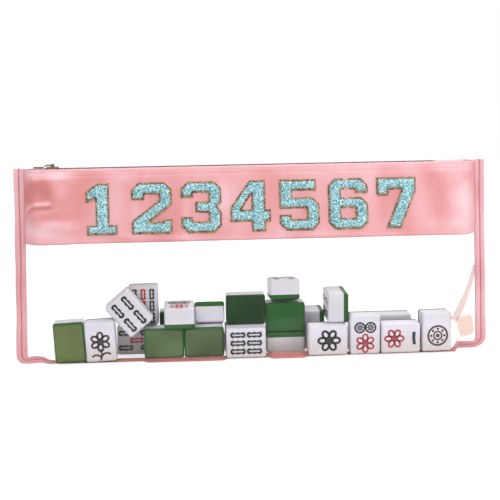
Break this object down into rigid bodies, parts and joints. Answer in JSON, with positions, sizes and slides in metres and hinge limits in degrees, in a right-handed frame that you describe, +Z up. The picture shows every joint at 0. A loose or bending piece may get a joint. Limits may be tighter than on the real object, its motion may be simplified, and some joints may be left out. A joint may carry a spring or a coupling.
{
  "type": "clear zip case for game tiles",
  "caption": "Clear zip case with pink cloth bands, folded edge binding, chenille numeral patches, a sliding zip slider with a hinged pull, and game tiles inside.",
  "frame": {"origin": "middle of the outline's base, on the surface that the case stands on", "axes": "+X to the right along the zip, +Y to the back, +Z up; the patches face -Y"},
  "size_m": [0.472, 0.076, 0.196],
  "materials": {
    "clear_vinyl": "glossy",
    "pink_nylon": "satin",
    "pink_tape": "satin",
    "zip_cloth": "matte",
    "zip_metal": "satin",
    "antique_brass": "satin",
    "felt_backing": "matte",
    "chenille_pile": "matte",
    "tile_face": "polished",
    "tile_back": "polished"
  },
  "bodies": {
    "case": {"front_sheet": "clear_vinyl", "back_sheet": "clear_vinyl", "front_band": "pink_nylon", "back_band": "pink_nylon", "edge_binding": "pink_tape", "zip_tape_front": "zip_cloth", "zip_tape_back": "zip_cloth", "zip_teeth_front": "zip_metal", "zip_teeth_back": "zip_metal", "top_stops": "antique_brass", "end_stop": "antique_brass", "left_end_tab": "pink_nylon", "right_end_tab": "pink_nylon", "patch_backing_1": "felt_backing", "patch_backing_2": "felt_backing", "patch_backing_3": "felt_backing", "patch_backing_4": "felt_backing", "patch_backing_5": "felt_backing", "patch_backing_6": "felt_backing", "patch_backing_7": "felt_backing", "patch_pile_1": "chenille_pile", "patch_pile_2": "chenille_pile", "patch_pile_3": "chenille_pile", "patch_pile_4": "chenille_pile", "patch_pile_5": "chenille_pile", "patch_pile_6": "chenille_pile", "patch_pile_7": "chenille_pile", "front_row_tile_faces": "tile_face", "front_row_tile_backs": "tile_back", "middle_row_tile_faces": "tile_face", "middle_row_tile_backs": "tile_back", "rear_row_tile_faces": "tile_face", "rear_row_tile_backs": "tile_back", "upper_tile_faces": "tile_face", "upper_tile_backs": "tile_back"},
    "slider": {"slider": "antique_brass"},
    "pull": {"pull": "antique_brass"}
  },
  "joints": [
    {"name": "slider_slide", "type": "slide", "parent": "case", "child": "slider", "axis": [1, 0, 0], "range_m": [0, 0.3729]},
    {"name": "pull_flip", "type": "hinge", "parent": "slider", "child": "pull", "pos_m": [-0.1973, 0.004, 0.1945], "axis": [0, 1, 0], "range_deg": [0, 180]}
  ]
}
